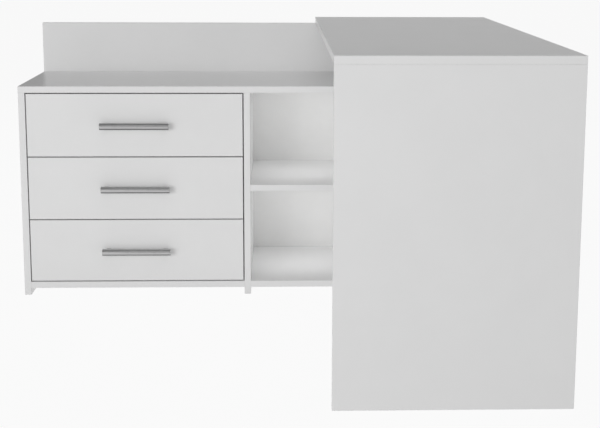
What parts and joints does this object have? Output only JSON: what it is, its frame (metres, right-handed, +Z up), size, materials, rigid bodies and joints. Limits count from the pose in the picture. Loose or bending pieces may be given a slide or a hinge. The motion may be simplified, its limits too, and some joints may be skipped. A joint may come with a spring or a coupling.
{
  "type": "corner desk",
  "caption": "L-shaped corner desk in white melamine board: a desk top on an end panel joins a low cabinet with inset drawers on roller runners and open shelves.",
  "frame": {"origin": "middle of the footprint, on the floor", "axes": "+X to the right along the cabinet, +Y to the back, +Z up; the drawers open towards -Y"},
  "size_m": [1.35, 1.27, 0.76],
  "materials": {
    "white_board": "satin white melamine on chipboard",
    "drawer_board": "matte white foil on chipboard",
    "white_hardboard": "satin white lacquer on hardboard",
    "brushed_metal": "brushed",
    "runner_steel": "white powder coat",
    "roller_nylon": "matte nylon",
    "zinc_cams": "cast zinc",
    "bolt_steel": "zinc-plated",
    "screw_steel": "zinc-plated",
    "beech": "bare beech"
  },
  "bodies": {
    "desk": {"left_side_panel": "white_board", "divider_panel": "white_board", "right_side_panel": "white_board", "cabinet_top": "white_board", "drawer_bay_bottom": "white_board", "shelf_bay_bottom": "white_board", "middle_shelf": "white_board", "raised_back_panel": "white_board", "desk_top": "white_board", "end_panel": "white_board", "back_sheet": "white_hardboard", "cam_locks": "zinc_cams", "cam_bolts": "bolt_steel", "wood_dowels": "beech", "runner_screws": "screw_steel", "bottom_left_channel": "runner_steel", "bottom_right_channel": "runner_steel", "middle_left_channel": "runner_steel", "middle_right_channel": "runner_steel", "top_left_channel": "runner_steel", "top_right_channel": "runner_steel"},
    "bottom_drawer": {"bottom_drawer_front": "white_board", "bottom_drawer_left_side": "drawer_board", "bottom_drawer_right_side": "drawer_board", "bottom_drawer_back": "drawer_board", "bottom_drawer_bottom": "white_hardboard", "bottom_drawer_handle": "brushed_metal", "bottom_drawer_fittings": "screw_steel", "bottom_left_angle": "runner_steel", "bottom_right_angle": "runner_steel"},
    "bottom_left_front_roller": {"bottom_left_front_roller": "roller_nylon"},
    "bottom_left_rear_roller": {"bottom_left_rear_roller": "roller_nylon"},
    "bottom_right_front_roller": {"bottom_right_front_roller": "roller_nylon"},
    "bottom_right_rear_roller": {"bottom_right_rear_roller": "roller_nylon"},
    "middle_drawer": {"middle_drawer_front": "white_board", "middle_drawer_left_side": "drawer_board", "middle_drawer_right_side": "drawer_board", "middle_drawer_back": "drawer_board", "middle_drawer_bottom": "white_hardboard", "middle_drawer_handle": "brushed_metal", "middle_drawer_fittings": "screw_steel", "middle_left_angle": "runner_steel", "middle_right_angle": "runner_steel"},
    "middle_left_front_roller": {"middle_left_front_roller": "roller_nylon"},
    "middle_left_rear_roller": {"middle_left_rear_roller": "roller_nylon"},
    "middle_right_front_roller": {"middle_right_front_roller": "roller_nylon"},
    "middle_right_rear_roller": {"middle_right_rear_roller": "roller_nylon"},
    "top_drawer": {"top_drawer_front": "white_board", "top_drawer_left_side": "drawer_board", "top_drawer_right_side": "drawer_board", "top_drawer_back": "drawer_board", "top_drawer_bottom": "white_hardboard", "top_drawer_handle": "brushed_metal", "top_drawer_fittings": "screw_steel", "top_left_angle": "runner_steel", "top_right_angle": "runner_steel"},
    "top_left_front_roller": {"top_left_front_roller": "roller_nylon"},
    "top_left_rear_roller": {"top_left_rear_roller": "roller_nylon"},
    "top_right_front_roller": {"top_right_front_roller": "roller_nylon"},
    "top_right_rear_roller": {"top_right_rear_roller": "roller_nylon"}
  },
  "joints": [
    {"name": "bottom_drawer_slide", "type": "slide", "parent": "desk", "child": "bottom_drawer", "axis": [0, -1, 0], "range_m": [0, 0.26]},
    {"name": "bottom_left_front_roller_spin", "type": "hinge", "parent": "desk", "child": "bottom_left_front_roller", "pos_m": [-0.651, 0.267, 0.0777], "axis": [1, 0, 0], "continuous": true},
    {"name": "bottom_left_rear_roller_spin", "type": "hinge", "parent": "bottom_drawer", "child": "bottom_left_rear_roller", "pos_m": [-0.651, 0.591, 0.0757], "axis": [1, 0, 0], "continuous": true},
    {"name": "bottom_right_front_roller_spin", "type": "hinge", "parent": "desk", "child": "bottom_right_front_roller", "pos_m": [-0.061, 0.267, 0.0777], "axis": [1, 0, 0], "continuous": true},
    {"name": "bottom_right_rear_roller_spin", "type": "hinge", "parent": "bottom_drawer", "child": "bottom_right_rear_roller", "pos_m": [-0.061, 0.591, 0.0757], "axis": [1, 0, 0], "continuous": true},
    {"name": "middle_drawer_slide", "type": "slide", "parent": "desk", "child": "middle_drawer", "axis": [0, -1, 0], "range_m": [0, 0.26]},
    {"name": "middle_left_front_roller_spin", "type": "hinge", "parent": "desk", "child": "middle_left_front_roller", "pos_m": [-0.651, 0.267, 0.2557], "axis": [1, 0, 0], "continuous": true},
    {"name": "middle_left_rear_roller_spin", "type": "hinge", "parent": "middle_drawer", "child": "middle_left_rear_roller", "pos_m": [-0.651, 0.591, 0.2537], "axis": [1, 0, 0], "continuous": true},
    {"name": "middle_right_front_roller_spin", "type": "hinge", "parent": "desk", "child": "middle_right_front_roller", "pos_m": [-0.061, 0.267, 0.2557], "axis": [1, 0, 0], "continuous": true},
    {"name": "middle_right_rear_roller_spin", "type": "hinge", "parent": "middle_drawer", "child": "middle_right_rear_roller", "pos_m": [-0.061, 0.591, 0.2537], "axis": [1, 0, 0], "continuous": true},
    {"name": "top_drawer_slide", "type": "slide", "parent": "desk", "child": "top_drawer", "axis": [0, -1, 0], "range_m": [0, 0.26]},
    {"name": "top_left_front_roller_spin", "type": "hinge", "parent": "desk", "child": "top_left_front_roller", "pos_m": [-0.651, 0.267, 0.4337], "axis": [1, 0, 0], "continuous": true},
    {"name": "top_left_rear_roller_spin", "type": "hinge", "parent": "top_drawer", "child": "top_left_rear_roller", "pos_m": [-0.651, 0.591, 0.4317], "axis": [1, 0, 0], "continuous": true},
    {"name": "top_right_front_roller_spin", "type": "hinge", "parent": "desk", "child": "top_right_front_roller", "pos_m": [-0.061, 0.267, 0.4337], "axis": [1, 0, 0], "continuous": true},
    {"name": "top_right_rear_roller_spin", "type": "hinge", "parent": "top_drawer", "child": "top_right_rear_roller", "pos_m": [-0.061, 0.591, 0.4317], "axis": [1, 0, 0], "continuous": true}
  ],
  "couplings": [
    {"joint": "bottom_left_front_roller_spin", "follows": "bottom_drawer_slide", "rad_per_m": 106.38},
    {"joint": "bottom_left_rear_roller_spin", "follows": "bottom_drawer_slide", "rad_per_m": 106.38},
    {"joint": "bottom_right_front_roller_spin", "follows": "bottom_drawer_slide", "rad_per_m": 106.38},
    {"joint": "bottom_right_rear_roller_spin", "follows": "bottom_drawer_slide", "rad_per_m": 106.38},
    {"joint": "middle_left_front_roller_spin", "follows": "middle_drawer_slide", "rad_per_m": 106.38},
    {"joint": "middle_left_rear_roller_spin", "follows": "middle_drawer_slide", "rad_per_m": 106.38},
    {"joint": "middle_right_front_roller_spin", "follows": "middle_drawer_slide", "rad_per_m": 106.38},
    {"joint": "middle_right_rear_roller_spin", "follows": "middle_drawer_slide", "rad_per_m": 106.38},
    {"joint": "top_left_front_roller_spin", "follows": "top_drawer_slide", "rad_per_m": 106.38},
    {"joint": "top_left_rear_roller_spin", "follows": "top_drawer_slide", "rad_per_m": 106.38},
    {"joint": "top_right_front_roller_spin", "follows": "top_drawer_slide", "rad_per_m": 106.38},
    {"joint": "top_right_rear_roller_spin", "follows": "top_drawer_slide", "rad_per_m": 106.38}
  ]
}
